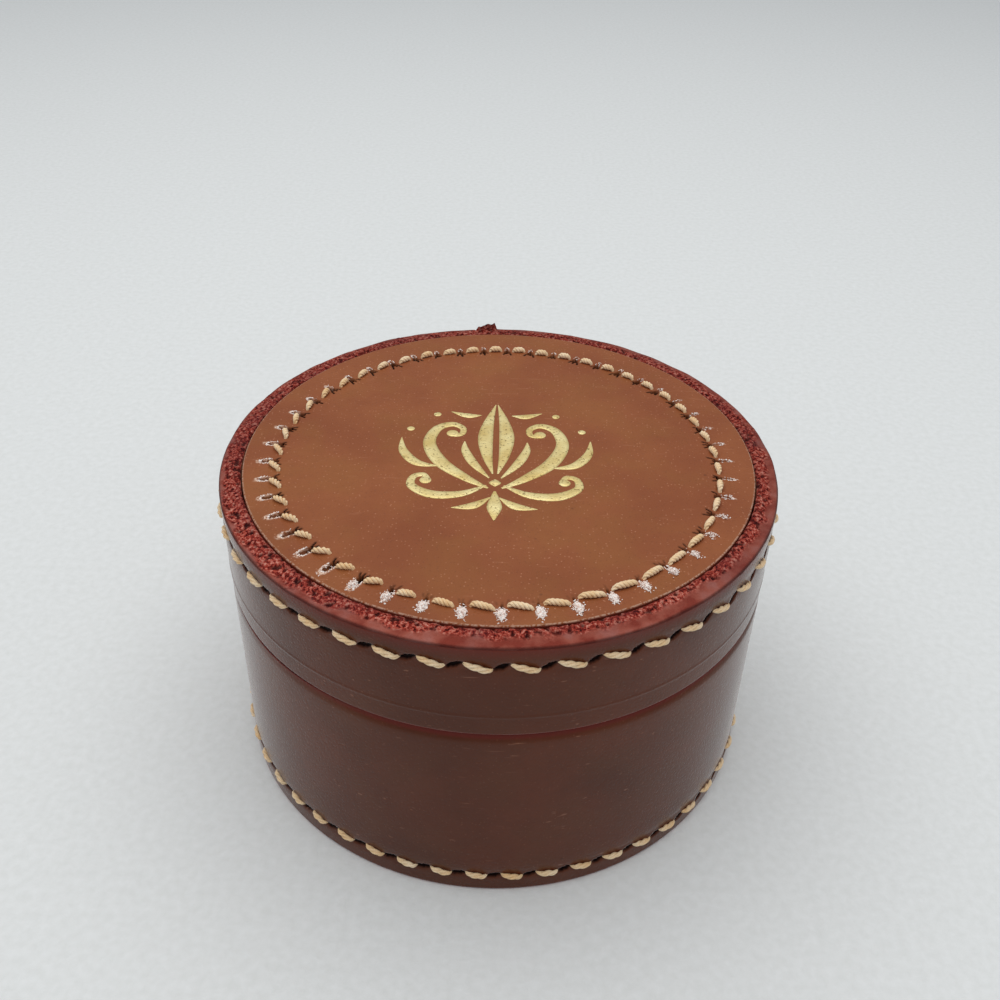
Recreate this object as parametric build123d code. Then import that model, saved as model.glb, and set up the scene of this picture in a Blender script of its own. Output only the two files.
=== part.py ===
"""Round leather box for cufflinks and tie clips: a saddle-stitched drum with a lift-off lid.

Two leather drums meet edge to edge. In each, a disc sits inside a wall strip, and one waxed thread
holds them: it runs over the disc, dives through a slanting awl hole and comes out of the wall.
A collar stands up inside the base, and the lid slides down over it.

Millimetres, +Z up, origin under the middle of the base at the surface that the box stands on.
-Y is the front. Azimuths are in degrees from +X, so the front is at -90 and the wall joints are at the back.
"""

from build123d import *
from math import acos, atan2, cos, degrees, hypot, radians, sin, tau
import os

# Overall form
outer_diameter = 76.2
seam_height = 30.5  # where the lid's wall meets the base's wall
rim_height = 44.8  # top edge of the lid's wall

# Leather
wall_leather = 3.0
disc_leather = 3.5
lid_disc_proud = 0.5  # the lid's disc stands above the rim
foot_clearance = 0.4  # from the thread under the base to the surface that the foot stands on
disc_fit = 0.1  # between a disc and its wall, all round
arris_round = 0.4  # burnished outer edges of the walls and discs

# Pressed line above the lid's lower edge
crease_from_edge = 1.8
crease_radius = 0.3
crease_depth = 0.2

# Skived lap where the two ends of a wall strip meet, and the tip that stands up on the lid's rim
lap_azimuth = 96.6
lap_length = 9.0
lap_gap = 0.1
lap_square_share = 0.25  # of a strip's thickness, left square at each end
lap_tip_length = 3.6
lap_tip_rise = 0.9
lap_tip_leather = 1.2

# Collar
collar_leather = 2.0
collar_headroom = 3.3  # from the collar's top to the lid's disc
collar_clearance = 0.3  # to the lid's wall, all round
collar_step_drop = 0.5  # the skived part starts this far below the seam
collar_round = 0.6
glue_line = 0.05

# Linings and pads
suede = 0.7
floor_board_thickness = 1.5
floor_wadding_thickness = 2.0
lid_board_thickness = 1.0
lid_wadding_thickness = 1.2
pad_clearance = 0.2  # round a pad, to the collar's lining
suede_skirt_gap = 0.1  # between a pad's turned-down suede and the leather behind it

# Stitching
thread_diameter = 1.0
thread_in_hole_diameter = 0.7  # pulled thin where it runs through the leather
thread_clearance = 0.05
thread_dip = 0.45  # the thread's middle below the leather where it dives into a hole
thread_crown = 0.3  # and above the leather half way along a stitch
thread_bend = 2.0  # radius of that bend
knot_margin = 0.01  # a knot's ball is this much larger than the corners of the threads that it joins
face_stitch_inset = 7.5  # from the wall's outside to the ring of stitches on a disc
awl_mouth = 2.4  # how far a hole is torn open from its stitch towards the rim
lid_stitch_drop = 3.1  # below the rim
base_stitch_rise = 3.5  # above the foot
lid_stitches = 47
lid_first_hole = -88.8
lid_spacing_drift = 0.07  # the hand-marked holes are this share wider apart at the front
base_stitches = 50
base_first_hole = -89.1
base_spacing_drift = 0.0

overshoot = 1.0  # cutters run this far past the ends of what they cut

# Worked out from the sizes above
outer_radius = outer_diameter / 2
wall_inner_radius = outer_radius - wall_leather
disc_radius = wall_inner_radius - disc_fit
lid_disc_top = rim_height + lid_disc_proud
lid_disc_underside = lid_disc_top - disc_leather
thread_radius = thread_diameter / 2
base_disc_underside = thread_crown + thread_radius + foot_clearance
base_floor = base_disc_underside + disc_leather
thread_in_hole_radius = thread_in_hole_diameter / 2
knot_radius = hypot(thread_radius, thread_in_hole_radius) + knot_margin
stitch_ring_radius = outer_radius - face_stitch_inset
collar_outer_radius = wall_inner_radius - glue_line
collar_skived_radius = wall_inner_radius - collar_clearance
collar_inner_radius = collar_outer_radius - collar_leather
collar_top = lid_disc_underside - collar_headroom
lining_outer_radius = collar_inner_radius - glue_line
lining_inner_radius = lining_outer_radius - suede
pad_radius = lining_inner_radius - pad_clearance
pad_core_radius = pad_radius - suede - glue_line

UP = (Align.CENTER, Align.CENTER, Align.MIN)


def polar(radius, azimuth, height):
    """A point given by its distance from the box's axis, its azimuth and its height."""
    angle = radians(azimuth)
    return Vector(radius * cos(angle), radius * sin(angle), height)


def disc(radius, bottom, top):
    return Pos(0, 0, bottom) * Cylinder(radius, top - bottom, align=UP)


def ring(outer, inner, bottom, top):
    return disc(outer, bottom, top) - disc(inner, bottom, top)


def rounded(shape, radius, heights, size):
    """Rounds the shape's circular edges of that radius that lie at the given heights."""
    close = 1e-4
    circles = shape.edges().filter_by(GeomType.CIRCLE)
    of_radius = circles.filter_by(lambda edge: abs(edge.radius - radius) < close)
    picked = of_radius.filter_by(lambda edge: any(abs(edge.center().Z - z) < close for z in heights))
    return fillet(picked, size)


# ---------------------------------------------------------------- walls


def lap_cut(outer, inner, bottom, top):
    """The thin gap between the ends of a strip bent into a ring: square at each face, slanting between."""
    lap_angle = 360 * lap_length / (tau * outer)
    square = (outer - inner) * lap_square_share
    corners = [
        polar(outer + overshoot, lap_azimuth, bottom - overshoot),
        polar(outer - square, lap_azimuth, bottom - overshoot),
        polar(inner + square, lap_azimuth - lap_angle, bottom - overshoot),
        polar(inner - overshoot, lap_azimuth - lap_angle, bottom - overshoot),
    ]
    slabs = []
    for start, end in zip(corners, corners[1:]):
        facing = Plane(origin=(start + end) / 2, x_dir=end - start)
        slabs.append(facing * Box((end - start).length, lap_gap, top - bottom + 2 * overshoot, align=UP))
    return slabs


def lap_tip():
    """The lid strip's free end, which was left a little high on the rim."""
    span = 360 * lap_tip_length / (tau * outer_radius)
    root = rim_height - arris_round * 2
    strip = ring(outer_radius, outer_radius - lap_tip_leather, root, rim_height + lap_tip_rise)
    middle = polar(outer_radius, lap_azimuth - span / 2, rim_height)
    keep = Box(wall_leather * 2, lap_tip_length, wall_leather * 2)
    return strip & (Pos(*middle) * Rot(0, 0, lap_azimuth - span / 2) * keep)


def lid_wall():
    wall = ring(outer_radius, wall_inner_radius, seam_height, rim_height)
    wall = rounded(wall, outer_radius, (seam_height, rim_height), arris_round)
    crease_height = seam_height + crease_from_edge
    crease = Torus(outer_radius + crease_radius - crease_depth, crease_radius)
    wall = wall - Pos(0, 0, crease_height) * crease
    wall = wall + lap_tip()
    return wall - lap_cut(outer_radius, wall_inner_radius, seam_height, rim_height + lap_tip_rise)


def base_wall():
    wall = ring(outer_radius, wall_inner_radius, 0, seam_height)
    wall = rounded(wall, outer_radius, (0, seam_height), arris_round)
    return wall - lap_cut(outer_radius, wall_inner_radius, 0, seam_height)


def base_collar():
    """Stands up out of the base. Above the seam it is skived thinner, so that the lid slides over it."""
    step = seam_height - collar_step_drop
    lower = disc(collar_outer_radius, base_floor, step)
    upper = disc(collar_skived_radius, step, collar_top)
    collar = lower + upper - disc(collar_inner_radius, base_floor, collar_top)
    collar = rounded(collar, collar_skived_radius, (collar_top,), collar_round)
    return collar - lap_cut(collar_outer_radius, collar_inner_radius, base_floor, collar_top)


# ---------------------------------------------------------------- discs, boards and pads


def lid_disc():
    panel = disc(disc_radius, lid_disc_underside, lid_disc_top)
    return rounded(panel, disc_radius, (lid_disc_top,), arris_round)


def base_disc():
    panel = disc(disc_radius, base_disc_underside, base_floor)
    return rounded(panel, disc_radius, (base_disc_underside,), arris_round)


def suede_cover(pad_face, suede_face, skirt_end):
    """Suede over a pad's flat face, turned down over its edge as far as skirt_end."""
    cover = disc(pad_radius, *sorted((suede_face, skirt_end)))
    cover = cover - disc(pad_radius - suede, *sorted((pad_face, skirt_end)))
    return rounded(cover, pad_radius, (suede_face,), suede / 2)


def floor_pad():
    """Board, wadding and suede on the base's floor, from the bottom up."""
    board_top = base_floor + floor_board_thickness
    wadding_top = board_top + floor_wadding_thickness
    board = disc(pad_core_radius, base_floor, board_top)
    wadding = disc(pad_core_radius, board_top, wadding_top)
    cover = suede_cover(wadding_top, wadding_top + suede, base_floor + suede_skirt_gap)
    return board, wadding, cover


def lid_pad():
    """Board, wadding and suede under the lid's disc, from the top down."""
    board_bottom = lid_disc_underside - lid_board_thickness
    wadding_bottom = board_bottom - lid_wadding_thickness
    board = disc(pad_core_radius, board_bottom, lid_disc_underside)
    wadding = disc(pad_core_radius, wadding_bottom, board_bottom)
    cover = suede_cover(wadding_bottom, wadding_bottom - suede, lid_disc_underside - suede_skirt_gap)
    return board, wadding, cover


def collar_lining():
    """A strip of suede inside the collar, whose ends meet square behind the middle of the collar's lap."""
    lining = ring(lining_outer_radius, lining_inner_radius, base_floor, collar_top - collar_round)
    joint_azimuth = lap_azimuth - 180 * lap_length / (tau * lining_outer_radius)
    joint_middle = polar(lining_outer_radius, joint_azimuth, base_floor - overshoot)
    joint = Box(wall_leather, lap_gap, collar_top - base_floor + 2 * overshoot, align=UP)
    return lining - Pos(*joint_middle) * Rot(0, 0, joint_azimuth) * joint


# ---------------------------------------------------------------- stitching


def hole_azimuths(count, first, drift):
    """Azimuths of the awl holes, a little wider apart at the front by the given share."""
    even = [first + 360 * i / count for i in range(count)]
    return [azimuth + degrees(drift) * cos(radians(azimuth)) for azimuth in even]


class Stitch:
    """One stitch: it rises out of a hole, bends over its crest and dives into the next hole.

    start and end are the thread's middle at the two holes and crest is its highest point, half way.
    up is square to the leather there.
    """

    def __init__(self, start, end, crest, up):
        self.start, self.end, self.crest, self.up = start, end, crest, up
        self.along = (end - start).normalized()
        self.half = (end - start).length / 2
        self.rise = (crest - (start + end) / 2).dot(up)
        reach = hypot(self.half, thread_bend - self.rise)
        self.slope = atan2(self.half, thread_bend - self.rise) - acos(thread_bend / reach)
        self.bend_half = thread_bend * sin(self.slope)
        self.bend_drop = thread_bend * (1 - cos(self.slope))

    def at(self, along, up):
        """The point that far along and up from the crest."""
        return self.crest + self.along * along + self.up * up

    def thread(self):
        left = self.at(-self.bend_half, -self.bend_drop)
        right = self.at(self.bend_half, -self.bend_drop)
        path = Line(self.start, left) + ThreePointArc(left, self.crest, right) + Line(right, self.end)
        return sweep(path.location_at(0) * Circle(thread_radius), path=path)

    def bed(self):
        """What the stitch presses away from the leather under it, with flat sides."""
        room = thread_radius + thread_clearance
        low_side = room / cos(self.slope)
        profile = [
            (-self.half, overshoot),
            (-self.half, -self.rise - low_side),
            (-self.bend_half, -self.bend_drop - low_side),
            (0, -room),
            (self.bend_half, -self.bend_drop - low_side),
            (self.half, -self.rise - low_side),
            (self.half, overshoot),
        ]
        face = Plane(origin=self.crest, x_dir=self.along, z_dir=self.along.cross(self.up))
        return extrude(face * make_face(Polyline(*profile, close=True)), amount=room, both=True)


class Seam:
    """One ring of saddle stitching that holds a disc in its wall.

    face is the height of the disc's outer face, and outward is +1 if that face looks up, or -1.
    side is the height of the stitches on the wall.
    """

    def __init__(self, azimuths, face, outward, side):
        self.azimuths, self.face, self.outward, self.side = azimuths, face, outward, side
        pairs = list(zip(azimuths, azimuths[1:] + [azimuths[0] + 360]))
        self.over_disc = [self.disc_stitch(*pair) for pair in pairs]
        self.along_wall = [self.wall_stitch(*pair) for pair in pairs]

    def disc_knot(self, azimuth):
        return polar(stitch_ring_radius, azimuth, self.face - self.outward * thread_dip)

    def wall_knot(self, azimuth):
        return polar(outer_radius - thread_dip, azimuth, self.side)

    def disc_stitch(self, here, after):
        start, end = self.disc_knot(here), self.disc_knot(after)
        up = Vector(0, 0, self.outward)
        return Stitch(start, end, (start + end) / 2 + up * (thread_dip + thread_crown), up)

    def wall_stitch(self, here, after):
        halfway = (here + after) / 2
        crest = polar(outer_radius + thread_crown, halfway, self.side)
        return Stitch(self.wall_knot(here), self.wall_knot(after), crest, polar(1, halfway, 0))

    def thread(self):
        """The whole thread as one solid."""
        pieces = [stitch.thread() for stitch in self.over_disc + self.along_wall]
        for azimuth in self.azimuths:
            inner, outer = self.disc_knot(azimuth), self.wall_knot(azimuth)
            through = Line(inner, outer)
            pieces.append(sweep(through.location_at(0) * Circle(thread_in_hole_radius), path=through))
            # Each ball's own poles and seam face away from the threads that it joins.
            pieces.append(Plane(origin=inner, x_dir=polar(-1, azimuth, 0)) * Sphere(knot_radius))
            pieces.append(Plane(origin=outer, x_dir=polar(1, azimuth, 0)) * Sphere(knot_radius))
        return pieces[0].fuse(*pieces[1:])

    def awl_hole(self, azimuth):
        """A slanting slot for the thread, torn open on the disc's face from the stitch towards the rim."""
        room = knot_radius + thread_clearance
        inner = Vector(stitch_ring_radius, -thread_dip)
        outer = Vector(outer_radius - thread_dip, -abs(self.face - self.side))
        along = (outer - inner).normalized()
        lower = Vector(along.Y, -along.X) * room
        beyond = along * (thread_dip + room + overshoot)
        profile = [
            (inner.X - room, overshoot),
            (inner.X - room, inner.Y - room),
            inner + lower,
            outer + beyond + lower,
            outer + beyond - lower,
            outer - lower,
            (stitch_ring_radius + awl_mouth, 0),
            (stitch_ring_radius + awl_mouth, overshoot),
        ]
        points = [polar(p[0], azimuth, self.face + self.outward * p[1]) for p in map(tuple, profile)]
        slot = make_face(Polyline(*points, close=True))
        return extrude(slot, amount=room, dir=polar(1, azimuth + 90, 0), both=True)

    def cut_from(self, leather, stitches):
        holes = [self.awl_hole(azimuth) for azimuth in self.azimuths]
        return leather.cut(*holes, *[stitch.bed() for stitch in stitches])


def sewn(wall, panel, seam):
    """The wall and the disc with their awl holes and thread beds, and the thread that joins them."""
    return seam.cut_from(wall, seam.along_wall), seam.cut_from(panel, seam.over_disc), seam.thread()


def main():
    lid_holes = hole_azimuths(lid_stitches, lid_first_hole, lid_spacing_drift)
    base_holes = hole_azimuths(base_stitches, base_first_hole, base_spacing_drift)
    lid_seam = Seam(lid_holes, lid_disc_top, 1, rim_height - lid_stitch_drop)
    base_seam = Seam(base_holes, base_disc_underside, -1, base_stitch_rise)
    parts = {}
    parts["lid_wall"], parts["lid_disc"], parts["lid_thread"] = sewn(lid_wall(), lid_disc(), lid_seam)
    parts["base_wall"], parts["base_disc"], parts["base_thread"] = sewn(base_wall(), base_disc(), base_seam)
    parts["base_collar"] = base_collar()
    parts["collar_lining"] = collar_lining()
    parts["floor_board"], parts["floor_wadding"], parts["floor_suede"] = floor_pad()
    parts["lid_board"], parts["lid_wadding"], parts["lid_suede"] = lid_pad()
    os.makedirs("parts", exist_ok=True)
    for name, shape in parts.items():
        shape.label = name
        export_step(shape, f"parts/{name}.step")


main()
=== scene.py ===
"""Looks of a round saddle-stitched leather box for cufflinks and tie clips.

Meshes are shaped in millimetres and turned to metres as they become objects. -Y is the front.
Azimuths are in degrees from +X, and grow to the right along the front.
"""

import random
from bisect import bisect
from collections import namedtuple
from math import atan2, cos, degrees, hypot, pi, radians, sin, tau

import bmesh
import bpy
from mathutils import Matrix, Vector, noise


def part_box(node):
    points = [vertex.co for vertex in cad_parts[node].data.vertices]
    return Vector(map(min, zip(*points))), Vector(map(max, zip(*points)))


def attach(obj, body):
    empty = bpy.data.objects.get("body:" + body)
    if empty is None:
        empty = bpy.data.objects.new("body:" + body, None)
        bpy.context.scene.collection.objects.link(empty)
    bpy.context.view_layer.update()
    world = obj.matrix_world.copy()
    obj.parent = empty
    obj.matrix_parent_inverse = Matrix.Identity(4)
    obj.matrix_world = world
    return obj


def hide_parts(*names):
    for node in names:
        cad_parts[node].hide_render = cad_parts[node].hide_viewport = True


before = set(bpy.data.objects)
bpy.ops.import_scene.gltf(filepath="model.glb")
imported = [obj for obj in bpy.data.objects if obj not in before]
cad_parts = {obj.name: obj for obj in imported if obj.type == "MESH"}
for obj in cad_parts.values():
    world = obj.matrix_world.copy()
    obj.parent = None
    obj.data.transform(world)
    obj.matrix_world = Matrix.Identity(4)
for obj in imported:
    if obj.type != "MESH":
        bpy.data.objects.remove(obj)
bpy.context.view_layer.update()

MM = 0.001

# The box, from the frame
LID_DISC_PROUD = 0.5
DISC_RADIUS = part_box("lid_disc")[1].x / MM
LID_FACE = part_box("lid_disc")[1].z / MM
LID_DISC_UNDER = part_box("lid_disc")[0].z / MM
RIM = LID_FACE - LID_DISC_PROUD
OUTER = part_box("base_wall")[1].x / MM
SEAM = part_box("base_wall")[1].z / MM
BASE_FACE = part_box("base_disc")[0].z / MM
BASE_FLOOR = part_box("base_disc")[1].z / MM
COLLAR_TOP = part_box("base_collar")[1].z / MM
COLLAR_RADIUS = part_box("base_collar")[1].x / MM
LINING_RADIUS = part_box("collar_lining")[1].x / MM
LINING_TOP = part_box("collar_lining")[1].z / MM
PAD_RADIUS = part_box("floor_suede")[1].x / MM
FLOOR_PAD_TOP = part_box("floor_suede")[1].z / MM
FLOOR_PAD_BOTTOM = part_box("floor_suede")[0].z / MM
LID_PAD_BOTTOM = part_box("lid_suede")[0].z / MM
LID_PAD_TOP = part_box("lid_suede")[1].z / MM

# Leather and sewing, as in the part
WALL = 3.0
ARRIS = 0.45
DISC_ARRIS = 0.25
SUEDE = 0.7
SKIVED_CLEARANCE = 0.3
COLLAR_STEP = SEAM - 0.5
STITCH_RING = OUTER - 7.65
LID_RING_SHIFT = Vector((-0.3, -1.2))  # the lid's ring was marked off centre, nearer the front
LID_STITCH_HEIGHT = RIM - 3.1
BASE_STITCH_HEIGHT = 3.5
CREASE_HEIGHT = SEAM + 3.2
LAP_AZIMUTH = 96.6
LAP_TIP_SPAN = 5.4
LAP_TIP_RISE = 0.9

# Grids on the leather, as steps from one hole to the next and a step in millimetres across the fine bands
LID_DISC_GRID = (32, 0.15)
BASE_DISC_GRID = (20, 0.25)
LID_WALL_GRID = (27, 0.17)
BASE_WALL_GRID = (24, 0.18)
INSIDE_TURN = (24, 10)  # sectors, and steps in each, of the pieces inside

# Where a Mix node has its colours
BELOW = 6
ABOVE = 7
MIXED = 2


# ---------------------------------------------------------------- node materials


def linear(code):
    """An sRGB hex colour as Blender's linear values."""
    parts = [int(code[i:i + 2], 16) / 255 for i in (1, 3, 5)]
    return [c / 12.92 if c <= 0.04045 else ((c + 0.055) / 1.055) ** 2.4 for c in parts] + [1.0]


def feed(node, inputs):
    """Sets a node's inputs. A value is a number, a colour, or the output socket that feeds the input."""
    for name, value in inputs.items():
        if isinstance(value, bpy.types.NodeSocket):
            node.id_data.links.new(value, node.inputs[name])
        else:
            node.inputs[name].default_value = value


def add(tree, kind, output, inputs, stops=(), **settings):
    """Adds a node and gives one of its outputs. stops are the (position, hex colour) pairs of a ramp."""
    node = tree.nodes.new("ShaderNode" + kind)
    for name, value in settings.items():
        setattr(node, name, value)
    if stops:
        elements = node.color_ramp.elements
        while len(elements) < len(stops):
            elements.new(0.5)
        for element, (position, code) in zip(elements, stops):
            element.position = position
            element.color = linear(code)
    feed(node, inputs)
    return node.outputs[output]


def new_material(name):
    """A material, with its tree, its Principled shader and its Object coordinates."""
    material = bpy.data.materials.new(name)
    material.use_nodes = True
    tree = material.node_tree
    return material, tree, tree.nodes["Principled BSDF"], add(tree, "TexCoord", "Object", {})


def scale_for(size):
    """The scale of a texture whose patches, or cells, are about that many millimetres wide."""
    return 1 / (size * MM)


def layered(tree, colour, *layers):
    """A colour with others laid over it.

    A layer has its mask, the mask's values where it starts and where it is full, its share there, and its
    hex colour.
    """
    for mask, start, full, share, code in layers:
        limits = {"Value": mask, "From Min": start, "From Max": full, "To Max": share}
        amount = add(tree, "MapRange", "Result", limits)
        colour = add(tree, "Mix", MIXED, {0: amount, BELOW: colour, ABOVE: linear(code)}, data_type="RGBA")
    return colour


def pores(tree, coords, spacing):
    """Round pits, about that many millimetres apart: 0 in a pit and 1 between them."""
    cells = add(tree, "TexVoronoi", "Distance", {"Vector": coords, "Scale": scale_for(spacing)})
    return add(tree, "MapRange", "Result", {"Value": cells, "From Min": 0.05, "From Max": 0.45})


def scattered(tree, coords, spacing, size, share):
    """Round specks of that size, in millimetres: 1 in a speck. Only that share of the cells has one."""
    cells = add(tree, "TexVoronoi", "Distance", {"Vector": coords, "Scale": scale_for(spacing)})
    rim, core = size / spacing / 2, size / spacing / 4
    speck = add(tree, "MapRange", "Result", {"Value": cells, "From Min": rim, "From Max": core})
    chance = add(tree, "SeparateColor", 0, {"Color": cells.node.outputs["Color"]})
    chosen = add(tree, "MapRange", "Result", {"Value": chance, "From Min": share, "From Max": share - 0.02})
    return add(tree, "Math", 0, {0: speck, 1: chosen}, operation="MULTIPLY")


def scratches(tree, coords, turn):
    """Faint short scratches along one direction: 1 in a scratch."""
    settings = {"Vector": coords, "Rotation": (0, 0, radians(turn)), "Scale": (0.12, 1.0, 1.0)}
    along = add(tree, "Mapping", "Vector", settings)
    lines = add(tree, "TexNoise", "Fac", {"Vector": along, "Scale": scale_for(0.5), "Detail": 1})
    return add(tree, "MapRange", "Result", {"Value": lines, "From Min": 0.72, "From Max": 0.8})


def grain_leather(name, light, dark, yellow, painted_glint_share, pore_spacing, pore_depth, finish):
    """Vegetable-tanned cowhide with its grain side finished satin.

    It gives an even colour with cloudy patches, fine pores, pale specks painted as glints and a few
    scratches. Leather is painted near black as shade in the awl holes and their slits, darkened along the
    lap line, pale where it is torn beside the holes and as a painted highlight along the discs' upper arris,
    and red where the edge dye ran over.
    """
    material, tree, shader, coords = new_material(name)
    hole_shade_and_lap_line, torn_and_painted_light, dye_and_shade = (
        add(tree, "Attribute", "Fac", {}, attribute_name=layer) for layer in ("hole_shade_and_lap_line", "torn_and_painted_light", "dye_and_shade")
    )
    patches, yellowing, mottle, crepe, fibre = (
        add(tree, "TexNoise", "Fac", {"Vector": coords, "Scale": scale_for(size), "Detail": detail})
        for size, detail in ((15, 3), (7, 2), (1.1, 4), (0.5, 3), (0.3, 2))
    )
    tufts = add(tree, "MapRange", "Result", {"Value": fibre, "From Min": 0.4, "From Max": 0.55})
    shreds_and_highlight = add(tree, "Math", 0, {0: torn_and_painted_light, 1: tufts}, operation="MULTIPLY")
    pits = pores(tree, coords, pore_spacing)
    base_colour = add(tree, "ValToRGB", "Color", {"Fac": patches}, ((0.36, dark), (0.64, light)))
    colour = layered(
        tree,
        base_colour,
        (mottle, 0.35, 0.7, 0.3, dark),
        (yellowing, 0.45, 0.65, 0.3, yellow),
        (pits, 0.5, 0.0, 0.2, "#2E1710"),
        # Pale specks: painted glints of the grain
        (scattered(tree, coords, 0.48, 0.24, 0.4), 0, 1, painted_glint_share, "#C98E70"),
        (scattered(tree, coords, 4.5, 0.6, 0.25), 0, 1, 0.3, "#2E1710"),
        (scratches(tree, coords, 12), 0, 1, 0.2, "#C98E70"),
        (dye_and_shade, 0, 1, 0.85, "#6E241C"),
        # Painted shade, near black, in the awl holes, their slits and small cuts; the same mask darkens the
        # lap line
        (hole_shade_and_lap_line, 0, 1, 1, "#120504"),
        # Pale torn fibre beside the holes, and a painted highlight along the discs' upper arris
        (shreds_and_highlight, 0, 1, 1, "#E2C4B0"),
    )
    # Nothing shines in the painted shade of a hole or slit, nor along the lap line
    gloss_limits = {"Value": hole_shade_and_lap_line, "To Min": finish["Specular IOR Level"], "To Max": 0.03}
    gloss = add(tree, "MapRange", "Result", gloss_limits)
    pitted = add(tree, "Bump", "Normal", {"Height": pits, "Distance": pore_depth * MM})
    creased = {"Height": crepe, "Distance": 1.6 * pore_depth * MM, "Normal": pitted}
    normal = add(tree, "Bump", "Normal", creased)
    feed(shader, {**finish, "IOR": 1.46, "Specular IOR Level": gloss})
    feed(shader, {"Base Color": colour, "Normal": normal})
    return material


def cut_edge(name):
    """The cut edge of the same hide, dyed red: burnished outside, and torn by the disc, with painted shade
    in its clefts and crevices.
    """
    material, tree, shader, coords = new_material(name)
    rough, dye_and_shade = (add(tree, "Attribute", "Fac", {}, attribute_name=layer) for layer in ("rough", "dye_and_shade"))
    bruise, cloud, waves = (
        add(tree, "TexNoise", "Fac", {"Vector": coords, "Scale": scale_for(size), "Detail": detail})
        for size, detail in ((6, 3), (3, 4), (1.6, 3))
    )
    fibre_settings = {"Vector": coords, "Scale": scale_for(0.42), "Detail": 5, "Roughness": 0.7}
    fibres = add(tree, "TexNoise", "Fac", fibre_settings)
    smooth_tones = ((0.36, "#84362A"), (0.5, "#9C5244"), (0.64, "#A8685E"))
    # The darkest torn tone paints shade into the low places of the fibres' relief
    torn_and_crevice_shade_tones = ((0.37, "#200406"), (0.45, "#7A2019"), (0.52, "#B04636"), (0.64, "#D69484"))
    burnished = add(tree, "ValToRGB", "Color", {"Fac": cloud}, smooth_tones)
    torn_and_painted_light = add(tree, "ValToRGB", "Color", {"Fac": fibres}, torn_and_crevice_shade_tones)
    red = add(tree, "Mix", MIXED, {0: rough, BELOW: burnished, ABOVE: torn_and_painted_light}, data_type="RGBA")
    # The near-black layer paints shade into the rim's clefts and inner side, and darkens its outer corner
    # and the lap's tip
    colour = layered(tree, red, (bruise, 0.45, 0.65, 0.3, "#582830"), (dye_and_shade, 0, 1, 1, "#220709"))
    matt = add(tree, "MapRange", "Result", {"Value": rough, "To Min": 0.5, "To Max": 0.85})
    shaggy = add(tree, "Bump", "Normal", {"Height": fibres, "Distance": 0.3 * MM, "Strength": 0.8})
    wavy = {"Height": waves, "Distance": 0.15 * MM, "Strength": 0.5, "Normal": shaggy}
    normal = add(tree, "Bump", "Normal", wavy)
    feed(shader, {"Base Color": colour, "Roughness": matt, "Normal": normal})
    feed(shader, {"IOR": 1.45, "Specular IOR Level": 0.14})
    return material


def linen_thread(name):
    """Waxed linen thread, straw coloured. Its twist is modelled, so this adds the hairs and uneven wax."""
    material, tree, shader, coords = new_material(name)
    tone = add(tree, "TexNoise", "Fac", {"Vector": coords, "Scale": scale_for(2.6), "Detail": 3})
    hairs = add(tree, "TexNoise", "Fac", {"Vector": coords, "Scale": scale_for(0.14), "Detail": 3})
    straw = add(tree, "ValToRGB", "Color", {"Fac": tone}, ((0.32, "#EFCA98"), (0.7, "#FCE7C6")))
    colour = layered(tree, straw, (hairs, 0.6, 0.35, 0.25, "#B4844C"))
    normal = add(tree, "Bump", "Normal", {"Height": hairs, "Distance": 0.06 * MM})
    feed(shader, {"Base Color": colour, "Roughness": 0.6, "Normal": normal})
    feed(shader, {"IOR": 1.5, "Specular IOR Level": 0.3, "Sheen Weight": 0.1})
    return material


def gold_foil(name):
    """Hot-stamped gold foil: thin metal that follows the grain under it, worn open in a few specks."""
    material, tree, shader, coords = new_material(name)
    tone = add(tree, "TexNoise", "Fac", {"Vector": coords, "Scale": scale_for(3.5), "Detail": 2})
    wear = add(tree, "TexNoise", "Fac", {"Vector": coords, "Scale": scale_for(0.35), "Detail": 4})
    gold = add(tree, "ValToRGB", "Color", {"Fac": tone}, ((0.35, "#DCC27C"), (0.65, "#F2E2A6")))
    colour = layered(tree, gold, (wear, 0.42, 0.3, 0.9, "#7A5A2C"))
    normal = add(tree, "Bump", "Normal", {"Height": wear, "Distance": 0.06 * MM})
    feed(shader, {"Base Color": colour, "Metallic": 0.55, "Roughness": 0.42, "Normal": normal})
    return material


def suede_leather(name):
    """Brown suede: a short nap that catches light at a slant and shows where it was brushed."""
    material, tree, shader, coords = new_material(name)
    brushed = add(tree, "TexNoise", "Fac", {"Vector": coords, "Scale": scale_for(9), "Detail": 3})
    nap = add(tree, "TexNoise", "Fac", {"Vector": coords, "Scale": scale_for(0.25), "Detail": 3})
    brown = add(tree, "ValToRGB", "Color", {"Fac": brushed}, ((0.35, "#4A2F20"), (0.65, "#64422E")))
    colour = layered(tree, brown, (nap, 0.7, 0.3, 0.3, "#2E1B12"))
    normal = add(tree, "Bump", "Normal", {"Height": nap, "Distance": 0.12 * MM})
    feed(shader, {"Base Color": colour, "Roughness": 0.95, "Normal": normal})
    feed(shader, {"Sheen Weight": 0.6, "Sheen Roughness": 0.4, "Sheen Tint": linear("#B98F70")})
    return material


def plain_fibres(name, size, depth, tones, finish, detail=4, unevenness=0.5):
    """A plain fibrous material. One noise of that size gives its tones, and its relief if it has a depth."""
    material, tree, shader, coords = new_material(name)
    settings = {"Vector": coords, "Scale": scale_for(size), "Detail": detail, "Roughness": unevenness}
    fibres = add(tree, "TexNoise", "Fac", settings)
    feed(shader, {**finish, "Base Color": add(tree, "ValToRGB", "Color", {"Fac": fibres}, tones)})
    if depth:
        feed(shader, {"Normal": add(tree, "Bump", "Normal", {"Height": fibres, "Distance": depth * MM})})
    return material


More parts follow.
